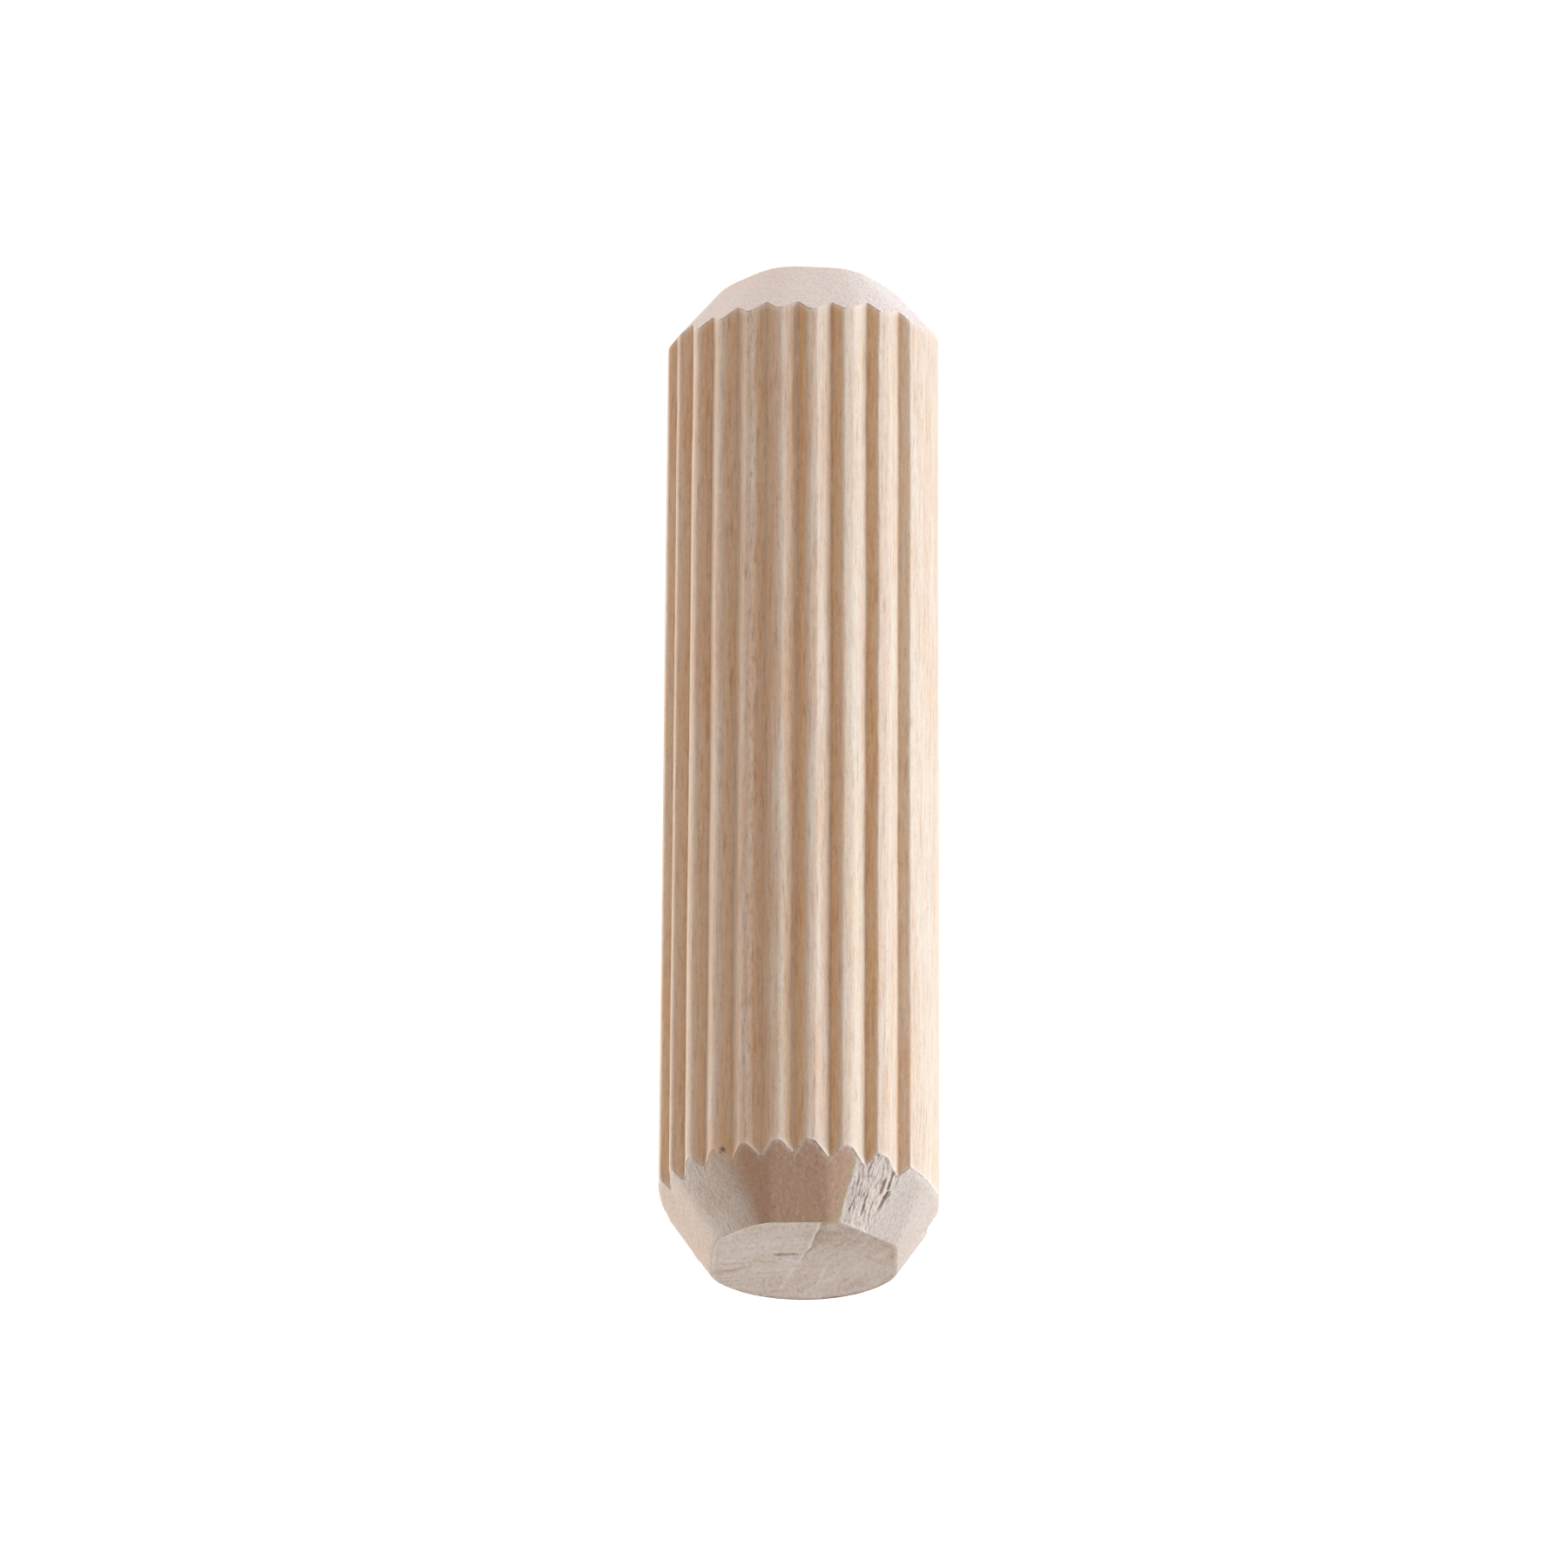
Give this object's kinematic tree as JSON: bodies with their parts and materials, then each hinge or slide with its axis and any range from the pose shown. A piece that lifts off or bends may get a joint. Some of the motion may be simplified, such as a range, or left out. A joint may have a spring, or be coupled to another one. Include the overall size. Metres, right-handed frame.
{
  "type": "dowel pin",
  "caption": "Straight fluted wooden dowel pin with chamfered ends, for gluing into a drilled hole.",
  "frame": {"origin": "centre of the pin's axis in the plane of the foot face that it stands on", "axes": "+Z along the pin from foot to head, -Y towards the front, where the chamfers are deepest"},
  "size_m": [0.0078, 0.0078, 0.03],
  "materials": {
    "wood": "bare, unfinished, dull"
  },
  "bodies": {
    "root": {"dowel_pin": "wood"}
  },
  "joints": []
}
